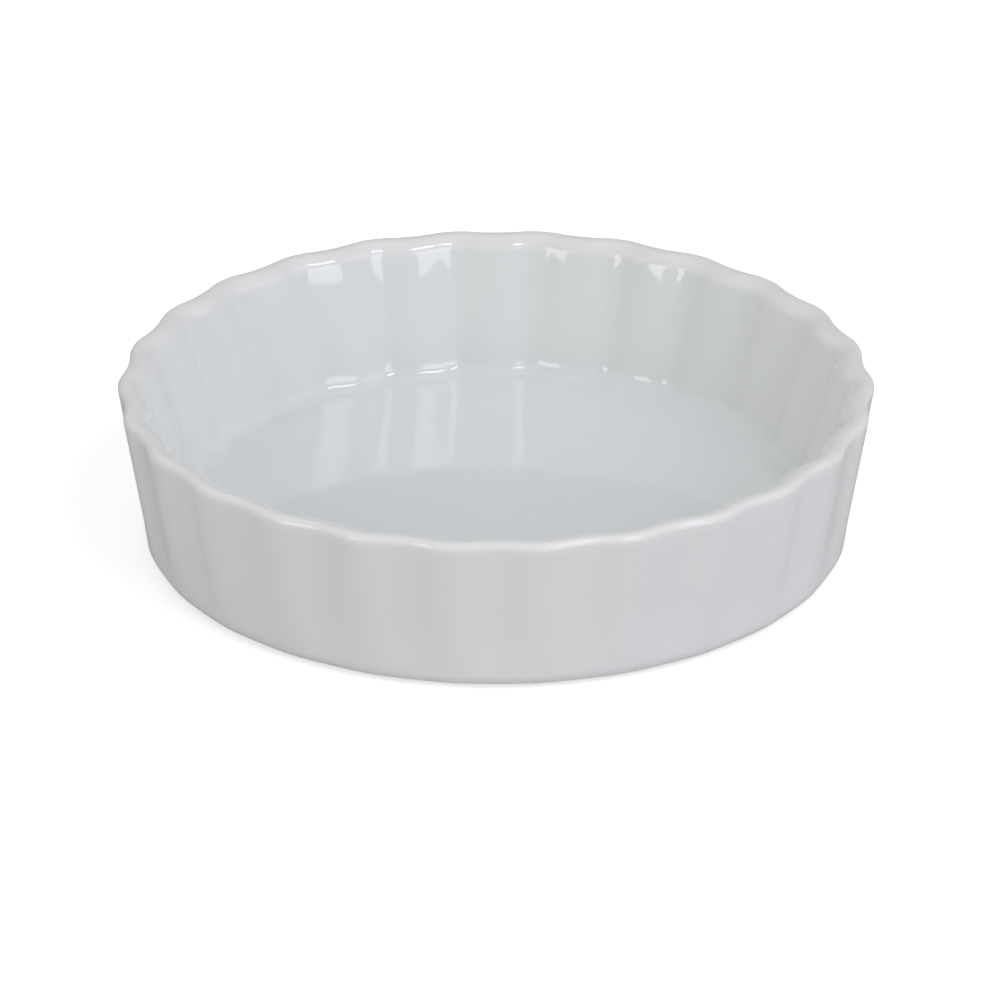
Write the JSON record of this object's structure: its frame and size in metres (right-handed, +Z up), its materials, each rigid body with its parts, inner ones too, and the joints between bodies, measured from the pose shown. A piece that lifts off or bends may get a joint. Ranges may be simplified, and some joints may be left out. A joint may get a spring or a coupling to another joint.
{
  "type": "fluted quiche dish",
  "caption": "Shallow round glazed porcelain baking dish with a leaning, fluted wall, a rounded wavy lip, a flat inside floor and a bare foot ring to stand on.",
  "frame": {"origin": "middle of the underside, on the surface that the dish stands on", "axes": "+Z up, out of the open top, along the dish's round axis; +X through a crest of the fluting, +Y through the middle of a flute"},
  "size_m": [0.127, 0.1262, 0.028],
  "materials": {
    "bare_porcelain": "matte, unglazed and smoothed, off-white",
    "clear_glaze": "smooth high gloss, cool white",
    "underside_clear_glaze": "smooth gloss, cool white"
  },
  "bodies": {
    "root": {"dish_body": "bare_porcelain", "glaze": "clear_glaze", "underside_glaze": "underside_clear_glaze"}
  },
  "joints": []
}
